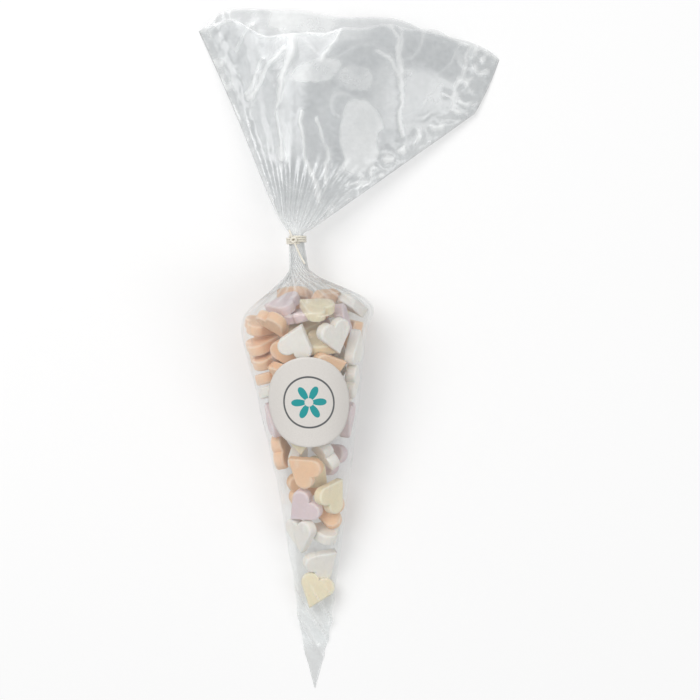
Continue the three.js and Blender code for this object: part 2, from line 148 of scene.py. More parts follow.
def add_node(tree: bpy.types.NodeTree, kind: str, links: dict | None = None,
             **settings: object) -> bpy.types.Node:
    """Adds a shader node with its settings and links.

    Args:
        tree: Node tree to add to.
        kind: Blender's name of the node type, without "ShaderNode".
        links: For each input, by name or number, a socket to link from or a constant.
        **settings: Properties of the node.

    Returns:
        The node.
    """
    node = tree.nodes.new("ShaderNode" + kind)
    for key, value in settings.items():
        setattr(node, key, value)
    for key, value in (links or {}).items():
        if isinstance(value, bpy.types.NodeSocket):
            tree.links.new(value, node.inputs[key])
        else:
            node.inputs[key].default_value = value
    return node


def noise_of(tree: bpy.types.NodeTree, size_mm: float, detail: float) -> bpy.types.NodeSocket:
    """Adds noise in the piece's own coordinates.

    Args:
        tree: Node tree to add to.
        size_mm: Size of its bumps.
        detail: How many finer layers it has.

    Returns:
        Socket with numbers from 0 to 1.
    """
    place = add_node(tree, "TexCoord").outputs["Object"]
    return add_node(tree, "TexNoise", {
        "Vector": place, "Scale": 1 / (size_mm * MM), "Detail": detail}).outputs["Fac"]


def blank_material(name: str) -> tuple[bpy.types.Material, bpy.types.NodeTree]:
    """Makes a material with no nodes.

    Args:
        name: Name of the material.

    Returns:
        The material and its node tree.
    """
    material = bpy.data.materials.new(name)
    material.use_nodes = True
    material.node_tree.nodes.clear()
    return material, material.node_tree


def ring_faces(rows: int, around: int) -> list[tuple[int, ...]]:
    """Faces between rings of points that follow each other.

    Args:
        rows: How many rings there are.
        around: How many points each ring has.

    Returns:
        Corner numbers of each face.
    """
    return [(k * around + i, k * around + (i + 1) % around,
             (k + 1) * around + (i + 1) % around, (k + 1) * around + i)
            for k in range(rows - 1) for i in range(around)]


def note_values(piece: bpy.types.Object, name: str, values: np.ndarray) -> None:
    """Notes one number at each point of a piece, for its material."""
    layer = piece.data.attributes.new(name, "FLOAT", "POINT")
    layer.data.foreach_set("value", values.astype(np.float32))


def mesh_object(name: str, points: np.ndarray, faces: list) -> bpy.types.Object:
    """Makes a smooth-shaded mesh object from points in mm.

    Args:
        name: Name of the piece.
        points: Array of points in mm.
        faces: Corner numbers of each face.

    Returns:
        The object, in the scene.
    """
    mesh = bpy.data.meshes.new(name)
    mesh.from_pydata((points.reshape(-1, 3) * MM).tolist(), [], faces)
    mesh.polygons.foreach_set("use_smooth", [True] * len(mesh.polygons))
    mesh.update()
    piece = bpy.data.objects.new(name, mesh)
    bpy.context.scene.collection.objects.link(piece)
    return piece


@dataclass(frozen=True)
class ClearFilm:
    """Polypropylene film, cast and chill-rolled: clear, glossy, milky where it creases; painted grey shade
    where slack, and painted reflections.
    """

    name: str = "polypropylene_film_cast"
    mirror: float = 0.05  # IOR 1.49 gives 0.04 straight on; the film has two faces
    roughness: float = 0.17
    crinkle_mm: float = 5.0
    crinkle_depth_mm: float = 0.06
    cloud_mm: float = 3.0
    tight_haze: float = 0.07
    slack_haze: float = 0.21
    crease_and_glare_haze: float = 0.42
    # painted shade: this grey veil on slack film stands in for the darker surroundings that the film
    # reflects
    painted_shade_colour: str = "#92959A"
    # white of the creases, also used for the painted reflections
    crease_and_glare_colour: str = "#F4F5F5"
    clear_colour: str = "#FDFEFE"
    grazing_mirror: float = 0.9
    grazing_power: float = 4.0

    def material(self) -> bpy.types.Material:
        """Builds the material; the mesh gives where the film is creased or painted with reflections, and
        where it is slack and painted grey as shade.
        """
        made, tree = blank_material(self.name)
        crease_and_glare = add_node(tree, "Attribute", attribute_name="crease_and_glare").outputs["Fac"]
        slack = add_node(tree, "Attribute", attribute_name="slack").outputs["Fac"]
        bump = add_node(tree, "Bump", {
            "Height": noise_of(tree, self.crinkle_mm, 3.0), "Distance": self.crinkle_depth_mm * MM,
            "Strength": 1.0})
        base = add_node(tree, "MapRange", {
            "Value": slack, "To Min": self.tight_haze, "To Max": self.slack_haze})
        clouded = add_node(tree, "MapRange", {
            "Value": noise_of(tree, self.cloud_mm, 4.0), "From Min": 0.3, "From Max": 0.7, "To Min": 0.8,
            "To Max": 1.25})
        grain = add_node(tree, "Math", {0: base.outputs[0], 1: clouded.outputs[0]}, operation="MULTIPLY")
        haze = add_node(tree, "Math", {0: crease_and_glare, 1: self.crease_and_glare_haze, 2: grain.outputs[0]},
                        operation="MULTIPLY_ADD", use_clamp=True)
        tight = add_node(tree, "Math", {0: 1.0, 1: slack}, operation="SUBTRACT")
        whiteness = add_node(tree, "Math", {0: crease_and_glare, 1: 3.0, 2: tight.outputs[0]},
                        operation="MULTIPLY_ADD", use_clamp=True)
        # the veil is grey painted shade where the film is slack, and white where it is creased or painted
        # with reflections
        tone = add_node(tree, "Mix", {
            0: whiteness.outputs[0], 6: linear(self.painted_shade_colour), 7: linear(self.crease_and_glare_colour)},
            data_type="RGBA")
        clear = add_node(tree, "BsdfTransparent", {"Color": linear(self.clear_colour)})
        veil = add_node(tree, "BsdfDiffuse", {"Color": tone.outputs[2], "Normal": bump.outputs[0]})
        gloss = add_node(tree, "BsdfGlossy", {
            "Color": linear("#FFFFFF"), "Roughness": self.roughness, "Normal": bump.outputs[0]})
        body = add_node(tree, "MixShader", {0: haze.outputs[0], 1: clear.outputs[0], 2: veil.outputs[0]})
        facing = add_node(tree, "LayerWeight", {"Blend": 0.5, "Normal": bump.outputs[0]}).outputs["Facing"]
        grazing = add_node(tree, "Math", {0: facing, 1: self.grazing_power}, operation="POWER")
        edge = add_node(tree, "MapRange", {
            "Value": grazing.outputs[0], "To Min": self.mirror, "To Max": self.grazing_mirror})
        whole = add_node(tree, "MixShader", {0: edge.outputs[0], 1: body.outputs[0], 2: gloss.outputs[0]})
        add_node(tree, "OutputMaterial", {"Surface": whole.outputs[0]})
        return made


@dataclass(frozen=True)
class PressedSugar:
    """Dextrose powder, pressed in a die: matt, faintly translucent, grainy, with paler rubbed rims."""

    flavour: Flavour
    grain_mm: float = 0.35
    grain_depth_mm: float = 0.03
    mottle_mm: float = 3.5
    shade: tuple[float, float, float] = (0.97, 0.93, 0.90)
    rub: float = 0.45

    def material(self) -> bpy.types.Material:
        """Builds the material of one flavour."""
        made, tree = blank_material("pressed_sugar_" + self.flavour.name.lower())
        grain = noise_of(tree, self.grain_mm, 2.0)
        rim = add_node(tree, "Attribute", attribute_name="rim").outputs["Fac"]
        deep = [c * k for c, k in zip(linear(self.flavour.value)[:3], self.shade)] + [1.0]
        tone = add_node(tree, "Mix", {
            0: noise_of(tree, self.mottle_mm, 5.0), 6: deep, 7: linear(self.flavour.value)},
            data_type="RGBA")
        pale = [c + (1 - c) * self.rub for c in linear(self.flavour.value)[:3]] + [1.0]
        rubbed = add_node(tree, "Math", {0: rim, 1: self.rub}, operation="MULTIPLY")
        worn = add_node(tree, "Mix", {0: rubbed.outputs[0], 6: tone.outputs[2], 7: pale}, data_type="RGBA")
        speck = add_node(tree, "MapRange", {
            "Value": grain, "From Min": 0.3, "From Max": 0.7, "To Min": 0.93, "To Max": 1.04})
        grained = add_node(tree, "Mix", {0: 1.0, 6: worn.outputs[2], 7: speck.outputs[0]},
                           data_type="RGBA", blend_type="MULTIPLY")
        bump = add_node(tree, "Bump", {
            "Height": grain, "Distance": self.grain_depth_mm * MM, "Strength": 0.8})
        shader = add_node(tree, "BsdfPrincipled", {
            "Base Color": grained.outputs[2], "Roughness": 0.78, "IOR": 1.52, "Normal": bump.outputs[0],
            "Subsurface Weight": 0.25, "Subsurface Radius": (1.0, 0.7, 0.5), "Subsurface Scale": 1.5 * MM})
        add_node(tree, "OutputMaterial", {"Surface": shader.outputs[0]})
        return made


@dataclass(frozen=True)
class StickerPaper:
    """Uncoated white paper, calendered, with a ring and petals printed in two inks."""

    name: str = "uncoated_sticker_paper"
    fibre_mm: float = 0.6
    paper_low: str = "#DCD7D1"
    paper_high: str = "#EAE6E1"
    grey_ink: str = "#5C5E60"
    teal_ink: str = "#239C9E"
    ring_mm: float = 11.2
    ring_line_mm: float = 0.8
    petals: int = 6
    petal_mm: float = 7.8
    eye_share: float = 0.24
    ink_edge_mm: float = 0.12

    def material(self) -> bpy.types.Material:
        """Builds the material; its print is drawn on the sticker's flat coordinates, in mm."""
        made, tree = blank_material(self.name)

        def math_node(kind: str, a: object, b: object = 0.0, c: object = 0.0) -> bpy.types.NodeSocket:
            """Adds a Math node of a kind and gives its result."""
            return add_node(tree, "Math", {0: a, 1: b, 2: c}, operation=kind).outputs[0]

        flat = add_node(tree, "UVMap", uv_map="flat").outputs[0]
        parts = add_node(tree, "SeparateXYZ", {0: flat}).outputs
        radius = math_node("SQRT", math_node("ADD", math_node("POWER", parts[0], 2.0),
                                             math_node("POWER", parts[1], 2.0)))
        turn = math_node("ARCTAN2", parts[1], parts[0])

        def inside(signed: bpy.types.NodeSocket) -> bpy.types.NodeSocket:
            """1 where a signed distance in mm is negative, with a soft ink edge."""
            return add_node(tree, "MapRange", {
                "Value": signed, "From Min": self.ink_edge_mm, "From Max": -self.ink_edge_mm}).outputs[0]

        off_ring = math_node("ABSOLUTE", math_node("SUBTRACT", radius, self.ring_mm))
        ring = inside(math_node("SUBTRACT", off_ring, self.ring_line_mm / 2))
        lobe = math_node("ABSOLUTE", math_node("COSINE", math_node("MULTIPLY", turn, self.petals / 2)))
        reach = math_node("MULTIPLY", math_node("POWER", lobe, 0.8), self.petal_mm)
        petal = inside(math_node("SUBTRACT", radius, reach))
        hollow = inside(math_node("SUBTRACT", radius, self.petal_mm * self.eye_share))
        petal = math_node("SUBTRACT", petal, hollow)
        fibre = noise_of(tree, self.fibre_mm, 3.0)
        mottled = add_node(tree, "Mix", {
            0: fibre, 6: linear(self.paper_low), 7: linear(self.paper_high)}, data_type="RGBA").outputs[2]
        greyed = add_node(tree, "Mix", {0: ring, 6: mottled, 7: linear(self.grey_ink)}, data_type="RGBA")
        inked = add_node(tree, "Mix", {
            0: petal, 6: greyed.outputs[2], 7: linear(self.teal_ink)}, data_type="RGBA")
        bump = add_node(tree, "Bump", {"Height": fibre, "Distance": 0.02 * MM, "Strength": 0.6})
        shader = add_node(tree, "BsdfPrincipled", {
            "Base Color": inked.outputs[2], "Roughness": 0.6, "IOR": 1.5, "Normal": bump.outputs[0]})
        add_node(tree, "OutputMaterial", {"Surface": shader.outputs[0]})
        return made


@dataclass(frozen=True)
class SatinStrand:
    """Polypropylene ribbon, slit and twisted to a strand: creamy white with a satin sheen."""

    name: str = "twisted_satin_strand"
    fibre_mm: float = 0.25

    def material(self) -> bpy.types.Material:
        """Builds the material."""
        made, tree = blank_material(self.name)
        fibre = noise_of(tree, self.fibre_mm, 2.0)
        tone = add_node(tree, "Mix", {
            0: fibre, 6: linear("#E3DCCB"), 7: linear("#F7F3E9")}, data_type="RGBA")
        bump = add_node(tree, "Bump", {"Height": fibre, "Distance": 0.03 * MM, "Strength": 0.8})
        shader = add_node(tree, "BsdfPrincipled", {
            "Base Color": tone.outputs[2], "Roughness": 0.35, "IOR": 1.49, "Sheen Weight": 0.15,
            "Normal": bump.outputs[0]})
        add_node(tree, "OutputMaterial", {"Surface": shader.outputs[0]})
        return made


@dataclass(frozen=True)
class Section:
    """Section of the body or neck: half sizes and the place of its middle."""

    width: np.ndarray
    height: np.ndarray
    across: np.ndarray
    middle: np.ndarray
    squareness: np.ndarray


@dataclass(frozen=True)
class BagLine:
    """The bag's line from tip to neck and its sections, as the CAD's but rounding sooner by the tip."""

    tip: tuple[float, float]
    bag_length: float = 306
    mouth_width: float = 167
    full_from: float = 95
    flat_to: float = 16
    early_full: float = 0.57
    early_share: float = 0.85
    thinnest: float = 0.35
    shoulder_from: float = 166
    neck_from: float = 189
    neck_at: float = 201
    neck_radius: float = 4.1
    waist_radius: float = 3.4
    neck_height: float = 20
    flat_squareness: float = 3.2
    table_flat: float = math.radians(18)
    line_tilt: float = math.radians(2.3)
    bow: float = 3.2
    shoulder_lean: float = 4
    neck_twist: float = math.radians(-90)
    twist_from: float = 178
    neck_pleat: float = 0.26
    pleats: int = 24

    def place(self, station: np.ndarray, across: np.ndarray, z: np.ndarray) -> np.ndarray:
        """Points in the frame, in mm.

        Args:
            station: Distance from the tip along the bag's line.
            across: Distance to the right of the line.
            z: Height over the table.

        Returns:
            Array of points.
        """
        sine, cosine = math.sin(self.line_tilt), math.cos(self.line_tilt)
        station, across, z = np.broadcast_arrays(station, across, z)
        return np.stack([self.tip[0] - station * sine + across * cosine,
                         self.tip[1] + station * cosine + across * sine, z], axis=-1).astype(float)

    def half_height(self, half_width: np.ndarray, perimeter: np.ndarray) -> np.ndarray:
        """Half height of an ellipse with this half width and perimeter: film folds, but doesn't stretch.

        Args:
            half_width: Half width of the ellipse.
            perimeter: Its perimeter.

        Returns:
            Half height of each ellipse.
        """
        low, high = np.zeros_like(half_width), np.array(perimeter, float)
        for _ in range(40):
            b = (low + high) / 2
            around = math.pi * (3 * (half_width + b) - np.sqrt((3 * half_width + b) * (half_width + 3 * b)))
            low, high = np.where(around < perimeter, b, low), np.where(around < perimeter, high, b)
        return low

    def section(self, station: np.ndarray | float) -> Section:
        """The section at each station.

        Args:
            station: Distances from the tip.

        Returns:
            The sections, as arrays.
        """
        station = np.asarray(station, float)
        body = np.minimum(station, self.shoulder_from)
        turn = self.full_from * self.early_full
        flat = (self.early_share * (1 - smooth(self.flat_to, turn, body))
                + (1 - self.early_share) * (1 - smooth(turn, self.full_from, body)))
        flat_width = self.mouth_width * body / self.bag_length
        width = flat_width * (1 / math.pi + (0.5 - 1 / math.pi) * flat)
        height = np.maximum(self.half_height(width, 2 * flat_width), self.thinnest)
        gather = smooth(self.shoulder_from, self.neck_from, station) ** 1.25
        waist = smooth(self.neck_from, self.neck_at, station)
        neck = self.neck_radius + (self.waist_radius - self.neck_radius) * waist
        leaning = smooth(self.shoulder_from - 8, self.neck_from, station)
        lean = self.shoulder_lean * np.sin(math.pi * leaning)
        return Section(
            width=width + (neck - width) * gather,
            height=height + (neck - height) * gather,
            across=self.bow * np.sin(math.pi * np.minimum(station / self.neck_at, 1)) + lean,
            middle=height * math.cos(self.table_flat) * (1 - gather) + self.neck_height * gather,
            squareness=2 + (self.flat_squareness - 2) * flat)

    def on_body(self, station: np.ndarray, angle: np.ndarray, swell: np.ndarray | float = 1.0,
                out: np.ndarray | float = 0.0) -> np.ndarray:
        """Points of the film, at angles from the right hand side over the top.

        Args:
            station: Distances from the tip.
            angle: Angles round the section.
            swell: Share of the section's size.
            out: Extra distance outwards, in mm.

        Returns:
            Array of points.
        """
        cut = self.section(station)

        def shaped(value: np.ndarray) -> np.ndarray:
            """Superellipse share of a sine or cosine."""
            return np.sign(value) * np.abs(value) ** (2 / cut.squareness)

        side, up = np.cos(angle), np.sin(angle)
        z = cut.middle + (cut.height * swell + out) * shaped(up)
        return self.place(station, cut.across + (cut.width * swell + out) * shaped(side), np.maximum(z, 0))

    def room(self, points: np.ndarray) -> np.ndarray:
        """Rough distance from points inside the bag to its film, in mm.

        Args:
            points: Array of points in mm.

        Returns:
            Distance of each, negative outside.
        """
        sine, cosine = math.sin(self.line_tilt), math.cos(self.line_tilt)
        x, y = points[..., 0] - self.tip[0], points[..., 1] - self.tip[1]
        station, across = y * cosine - x * sine, x * cosine + y * sine
        cut = self.section(np.clip(station, 3, 187))
        far = (np.abs((across - cut.across) / cut.width) ** cut.squareness
               + np.abs((points[..., 2] - cut.middle) / cut.height) ** cut.squareness)
        far = far ** (1 / cut.squareness)
        room = np.minimum((1 - far) * np.minimum(cut.width, cut.height), points[..., 2])
        return np.where((station < 30) | (station > 181), -1, room)


@dataclass(frozen=True)
class Stroke:
    """A crease pressed in one panel of the flare, as a line of points in mm from the frame's middle."""

    points: tuple[tuple[float, float], ...]
    width: float = 1.2
    height: float = 0.7
    white: float = 0.8
    panel: Panel = Panel.FRONT

    def distance(self, xy: np.ndarray) -> np.ndarray:
        """Distance from each point to the line.

        Args:
            xy: Array of points.

        Returns:
            Distances in mm.
        """
        nearest = np.full(xy.shape[:-1], 1e9)
        for start, end in zip(np.array(self.points[:-1], float), np.array(self.points[1:], float)):
            along = end - start
            t = np.clip(((xy - start) @ along) / (along @ along), 0, 1)
            nearest = np.minimum(nearest, np.linalg.norm(xy - start - t[..., None] * along, axis=-1))
        return nearest


CREASES = (
    Stroke(((16.0, 146.7), (21.0, 138.0), (23.5, 128.0), (23.8, 95.0)), 1.0, 0.9, 0.75),
    Stroke(((24.0, 145.6), (22.8, 136.0), (23.6, 126.0)), 0.9, 0.5, 0.6),
    Stroke(((13.5, 133.0), (20.0, 127.0), (25.0, 118.0)), 0.9, 0.6, 0.7),
    Stroke(((-24.6, 147.5), (-28.6, 124.0), (-32.4, 102.0), (-30.0, 84.0)), 2.1, 0.9, 0.55),
    Stroke(((-4.0, 143.0), (-12.4, 129.4)), 1.1, 0.5, 0.6),
    Stroke(((-21.8, 106.0), (-20.9, 88.0), (-12.9, 66.0)), 0.9, 0.8, 0.85),
    Stroke(((-13.5, 103.0), (-10.2, 90.0), (-10.0, 72.0)), 0.9, 0.8, 0.8),
    Stroke(((-29.3, 134.8), (-37.0, 124.0), (-44.0, 113.5)), 1.0, 0.8, 0.85),
    Stroke(((-38.0, 130.0), (-41.0, 124.0), (-45.0, 116.0)), 1.2, 0.7, 0.6),
    Stroke(((-43.0, 147.0), (-50.0, 133.0)), 0.8, 0.5, 0.7, Panel.BACK),
    Stroke(((55.0, 134.0), (45.5, 106.0)), 1.2, 0.5, 0.6),
)


@dataclass(frozen=True)
class PaintedReflection:
    """A painted reflection on the flare: a pale, soft-edged oval or box in mm where the lamps' reflection
    is painted into the film.
    """

    x: float
    y: float
    half_x: float
    half_y: float
    white: float
    power: float = 4.0
    turn: float = 0.0
    panel: Panel = Panel.FRONT

    def amount(self, xy: np.ndarray) -> np.ndarray:
        """How strongly each point is painted with the reflection, from 0 to white.

        Args:
            xy: Array of points.

        Returns:
            One number for each.
        """
        turn = math.radians(self.turn)
        x, y = xy[..., 0] - self.x, xy[..., 1] - self.y
        across, along = x * math.cos(turn) + y * math.sin(turn), y * math.cos(turn) - x * math.sin(turn)
        far = (np.abs(across / self.half_x) ** self.power + np.abs(along / self.half_y) ** self.power)
        return self.white * (1 - smooth(0.82, 1.12, far ** (1 / self.power)))


# painted reflections: pale patches put where the lamps' reflection would lie on the film
PAINTED_REFLECTIONS = (
    PaintedReflection(5.0, 94.0, 8.6, 17.0, 0.55, 3.2),
    PaintedReflection(29.0, 111.0, 20.0, 15.0, 0.22, 5.0, -14),
    PaintedReflection(-15.0, 124.0, 11.5, 6.0, 0.34, 2.2, 14),
    PaintedReflection(3.0, 120.0, 8.5, 5.5, 0.30, 2.4, -12),
    PaintedReflection(-36.0, 104.0, 11.0, 24.0, 0.14, 3.0, 17),
    PaintedReflection(-17.0, 88.0, 5.0, 15.0, 0.12, 3.0, 8),
    PaintedReflection(-5.0, 143.0, 15.0, 5.5, 0.26, 2.6, -4),
    PaintedReflection(40.0, 92.0, 15.0, 5.0, 0.22, 2.4, 34),
    PaintedReflection(-22.0, 146.0, 17.0, 5.5, 0.30, 3.0, -6, Panel.BACK),
)


@dataclass
class FilmBag:
    """The whole film: tip, body, shoulder, twisted neck and the open flare."""

    line: BagLine
    around: int = 312
    body_step: float = 1.15
    neck_rings: int = 30
    flare_rings: int = 118
    left: float = math.radians(-25)
    right: float = math.radians(54.5)
    left_spread: float = math.radians(-27)
    corner_cut: float = math.radians(6.3)
    cut_from: float = 98
    back_reach: tuple = ((0, 104), (0.09, 108), (0.3, 103.5), (0.43, 102), (0.7, 110), (1, 122))
    front_reach: tuple = ((0, 104), (0.09, 104), (0.22, 92), (0.4, 93), (0.5, 98), (0.66, 106),
                          (0.8, 113.5), (1, 122))
    gape: float = 14
    arch: float = 3.5
    pleat_depth: float = 1.5
    bundle_depth: float = 1.2
    bundle_width: float = 0.13
    spread_fades: float = 18
    full_reach: float = 122
    root_to: float = 0.07
    label_at: float = 128.8
    label_clear: float = 24

    def wave(self) -> np.ndarray:
        """Pleat pattern round the film, from 0 on a ridge to 1 in a fold."""
        turns = np.arange(self.around) / self.around * self.line.pleats
        fold = 1 - np.abs((turns % 1) * 2 - 1)
        return smooth(0.08, 0.92, fold)

    def body_rings(self, station: np.ndarray) -> tuple[np.ndarray, np.ndarray, np.ndarray]:
        """Rings of the body and neck.

        Args:
            station: Stations of the rings.

        Returns:
            Points, creases and slackness of each ring.
        """
        line = self.line
        share = np.arange(self.around) / self.around
        station = station[:, None]
        twist = line.neck_twist * (1 - smooth(line.twist_from, line.neck_at, station))
        angle = math.pi - 2 * math.pi * share[None, :] + twist
        pleat = line.neck_pleat * smooth(line.shoulder_from + 3, line.neck_from, station)
        plain = line.on_body(station, angle)
        lumps = bumps(plain, 11, 3.7) * 0.42 + 0.12
        fine = bumps(plain * np.array([1, 0.35, 1]), 3.2, 9.1)
        from_label = np.linalg.norm(plain[..., :2] - line.place(self.label_at, 0, 0)[:2], axis=-1)
        beside = smooth(self.label_clear - 4, self.label_clear + 4, from_label)
        quiet = np.where(plain[..., 2] > 20, beside, 1)
        full = smooth(20, 60, station) * (1 - smooth(182, 192, station))
        out = (np.clip(lumps, -0.15, 0.5) + 0.08 * fine) * quiet * full
        lower = smooth(8, 20, station) * (1 - smooth(38, 52, station))
        folds = np.sin(plain[..., 0] * 0.9 + plain[..., 1] * 0.55 + 1.5 * bumps(plain, 14, 5.0))
        out = out + 0.35 * lower * folds
        ruck = smooth(140, 186, station) * (1 - smooth(186, 190, station))
        out = out + 0.5 * ruck * np.abs(np.sin(angle * 9 + 2 * bumps(plain, 20, 1.0))) * quiet
        points = line.on_body(station, angle, 1 - pleat * self.wave()[None, :], out)
        sharp = np.clip(folds - 0.75, 0, 1) * 2.2 * lower
        streaks = np.clip(fine - 0.35, 0, 1) * 0.9 * full
        neck = smooth(172, 190, station) * (0.15 + 0.5 * (1 - self.wave()[None, :]) ** 2)
        fold_line = 0.4 * smooth(0.9, 0.2, np.abs(station - 31 - plain[..., 0] * 0.2))
        seal = 1.0 * (1 - smooth(16, 22, station)) + fold_line
        crease_and_glare = np.clip(sharp + streaks + neck + seal, 0, 1)
        slack = np.clip(0.25 * (1 - smooth(40, 70, station)) + smooth(150, 190, station), 0, 1)
        return points, crease_and_glare, np.broadcast_to(slack, crease_and_glare.shape)

    def flare_rings_at(self, reach: np.ndarray) -> tuple[np.ndarray, np.ndarray, np.ndarray]:
        """Rings of the flare.

        Args:
            reach: Share of the way from the tie to the mouth, for each ring.

        Returns:
            Points, creases and slackness of each ring.
        """
        line = self.line
        share = np.arange(self.around) / self.around
        front = share <= 0.5
        over = np.where(front, 2 * share, 2 - 2 * share)[None, :]
        reach = reach[:, None]
        mouth = np.where(front, through(list(self.front_reach), over), through(list(self.back_reach), over))
        out = reach * mouth
        right = self.right - self.corner_cut * np.maximum(
            0, (out - self.cut_from) / (self.full_reach - self.cut_from))
        left = self.left + self.left_spread * np.exp(-out / self.spread_fades)
        even = (1 - np.cos(math.pi * over)) / 2
        even = even + (over - even) * smooth(0, 0.25, reach)
        angle = left + (right - left) * even
        opening = np.sin(math.pi * np.clip(over, 0, 1)) ** 0.8
        sheet = (line.neck_height - line.waist_radius) * np.clip(1 - reach, 0, 1) ** 1.15
        neck_depth = 2 * line.waist_radius * (1 - smooth(0, 0.3, reach))
        gap = (neck_depth + self.gape * smooth(0.02, 1, reach)) * opening
        bundle = 1 + self.bundle_depth * np.exp(-over / self.bundle_width)
        fade = 1 - smooth(0.10, 0.42, reach) * (1 - 0.5 * np.exp(-over / 0.10))
        depth = self.pleat_depth * bundle * smooth(0, 0.2, reach) * fade * np.minimum(1, 8 * opening)
        z = sheet + self.arch * opening * reach + np.where(front, gap, 0) + depth * self.wave()[None, :]
        neck = line.place(line.neck_at, 0, 0)
        points = np.stack([neck[0] + np.sin(angle) * out, neck[1] + np.cos(angle) * out,
                           z + 0 * angle], axis=-1)
        lift, crease_and_glare = self.flare_marks(points, over, reach, front, opening)
        points[..., 2] = np.maximum(points[..., 2] + lift, 0.05)
        base = self.body_rings(np.array([line.neck_at]))[0][0]
        along = np.array([-math.sin(line.line_tilt), math.cos(line.line_tilt), 0])
        root = base[None, :, :] + (reach * 100)[..., None] * along
        points = root + (points - root) * smooth(0, self.root_to, reach)[..., None]
        return points, crease_and_glare, np.ones_like(crease_and_glare)

    def flare_marks(self, points: np.ndarray, over: np.ndarray, reach: np.ndarray, front: np.ndarray,
                    opening: np.ndarray) -> tuple[np.ndarray, np.ndarray]:
        """Creases, crumples and painted reflections of the flare.

        Args:
            points: Points of the smooth flare.
            over: Share from the left edge to the right one.
            reach: Share from the tie to the mouth.
            front: Whether each column is on the front panel.
            opening: How far the panels are apart, from 0 to 1.

        Returns:
            Height to add in mm, and how creased each point is, painted reflections included.
        """
        warp = np.stack([bumps(points, 12, 31.0), bumps(points, 12, 47.0)], axis=-1)
        fray = np.stack([bumps(points, 3.5, 61.0), bumps(points, 3.5, 77.0)], axis=-1)
        xy = points[..., :2] + 2.6 * warp + 0.9 * fray
        free = np.minimum(1, 2.5 * opening) * smooth(0.05, 0.3, reach)
        swells = bumps(points * np.array([1, 0.6, 0]) + np.where(front, 0, 40)[None, :, None], 42, 7.3)
        lift = 2.2 * swells * free
        ridged = 1 - np.abs(bumps(points * np.array([1, 1, 0]), 26, 2.2)) * 7
        spokes = np.sin(over * 46 + 2.5 * bumps(points, 25, 6.0)) * (1 - smooth(0.14, 0.5, reach))
        lift = lift + 0.25 * spokes * free
        crease_and_glare = np.clip(ridged - 0.62, 0, 1) * 0.5 * free + np.clip(spokes - 0.7, 0, 1) * 0.7 * free
        bundle = np.exp(-over / 0.075) * smooth(0.02, 0.1, reach)
        crumple = bumps(points * np.array([1, 0.6, 0]), 3.0, 4.4)
        lift = lift + 0.9 * crumple * bundle
        crease_and_glare = crease_and_glare + bundle * (0.22 + 0.5 * np.clip(crumple, 0, 1))
        hem = smooth(0.82, 0.93, over) * smooth(0.05, 0.25, reach) * (1 - smooth(0.985, 1.0, over))
        ruck = bumps(points * np.array([1, 1, 0]), 3.6, 8.8)
        lift = lift + 0.7 * ruck * hem
        crease_and_glare = crease_and_glare + hem * (0.12 + 0.6 * np.clip(ruck - 0.05, 0, 1))
        for stroke in CREASES:
            on = front if stroke.panel is Panel.FRONT else ~front
            near = np.exp(-(stroke.distance(xy) / stroke.width) ** 1.2) * on[None, :]
            near = near * (0.75 + 0.6 * bumps(points, 16, 90.0))
            lift = lift + 0.45 * stroke.height * near
            crease_and_glare = np.maximum(crease_and_glare, stroke.white * near)
        # painted reflections: pale patches added to the creases, which whiten the film there
        for reflection in PAINTED_REFLECTIONS:
            on = front if reflection.panel is Panel.FRONT else ~front
            painted_glare = reflection.amount(xy) * (0.85 + 0.5 * bumps(points, 9, 55.0))
            crease_and_glare = np.maximum(crease_and_glare, painted_glare * on[None, :])
        root = (1 - smooth(0.02, 0.3, reach)) * 0.30
        rim = smooth(0.985, 1.0, reach) * 0.35
        return lift, np.clip(crease_and_glare + root + rim, 0, 1)

    def build(self) -> bpy.types.Object:
        """Builds the film as one sheet and notes where it is creased or painted with reflections, and where
        it is slack.

        Returns:
            The piece.
        """
        line = self.line
        body = np.concatenate([
            np.arange(1.5, line.neck_from - 1, self.body_step),
            np.linspace(line.neck_from - 1, line.neck_at, self.neck_rings, endpoint=False)])
        flare = np.linspace(0.004, 1, self.flare_rings)
        parts = [self.body_rings(body), self.flare_rings_at(flare)]
        points, crease_and_glare, slack = (np.concatenate(group) for group in zip(*parts))
        count, around = points.shape[:2]
        faces = ring_faces(count, around)
        faces += [(count * around, (i + 1) % around, i) for i in range(around)]
        tip = line.place(0, 0, 0.3)
        piece = mesh_object("film_bag", np.concatenate([points.reshape(-1, 3), tip[None, :]]), faces)
        for name, values in (("crease_and_glare", crease_and_glare), ("slack", slack)):
            note_values(piece, name, np.append(values.ravel(), 1.0))
        return piece

    def dress(self) -> bpy.types.Object:
        """Builds the film, gives it its finish and puts it in the frame's place."""
        piece = self.build()
        piece.data.materials.append(ClearFilm().material())
        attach(piece, ROOT)
        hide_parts("cone_bag")
        return piece


